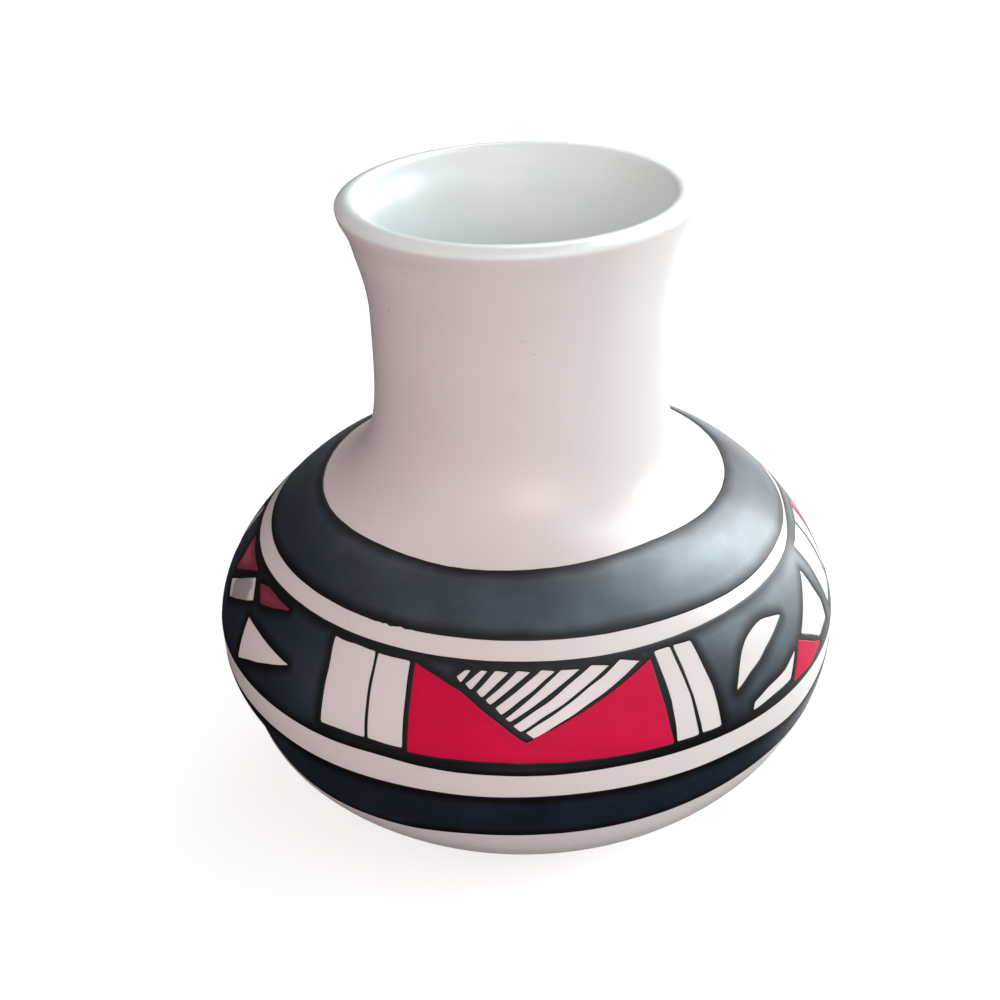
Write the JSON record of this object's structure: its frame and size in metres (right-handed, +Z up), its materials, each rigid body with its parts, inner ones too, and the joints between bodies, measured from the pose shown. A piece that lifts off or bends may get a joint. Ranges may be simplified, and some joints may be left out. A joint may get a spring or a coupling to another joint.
{
  "type": "painted pottery jar",
  "caption": "Small round-bellied pottery jar with a narrow flaring neck, glazed inside and out, with black bands and a black, white and red geometric frieze.",
  "frame": {"origin": "middle of the foot, on the plane that the foot ring stands on", "axes": "+Z up along the jar's axis; -Y is the front, in the middle of the panel that the picture shows"},
  "size_m": [0.1202, 0.1206, 0.1193],
  "materials": {
    "bare_clay": "unglazed, matt, on the foot only",
    "white_glaze": "cool white gloss inside and over the lip",
    "cream_glaze": "pinkish cream gloss on the neck, shoulder, stripes and foot zone",
    "black_paint": "blue-black satin, brushed",
    "red_paint": "crimson satin, brushed"
  },
  "bodies": {
    "root": {"clay_body": "bare_clay", "inner_glaze": "white_glaze", "outer_glaze": "cream_glaze", "shoulder_band": "black_paint", "frieze_ground": "black_paint", "base_band": "black_paint", "panel_red_front": "red_paint", "panel_red_right": "red_paint", "panel_red_left": "red_paint", "feather_red_right": "red_paint", "feather_red_back": "red_paint", "arrow_red_small": "red_paint", "arrow_red_large": "red_paint"}
  },
  "joints": []
}
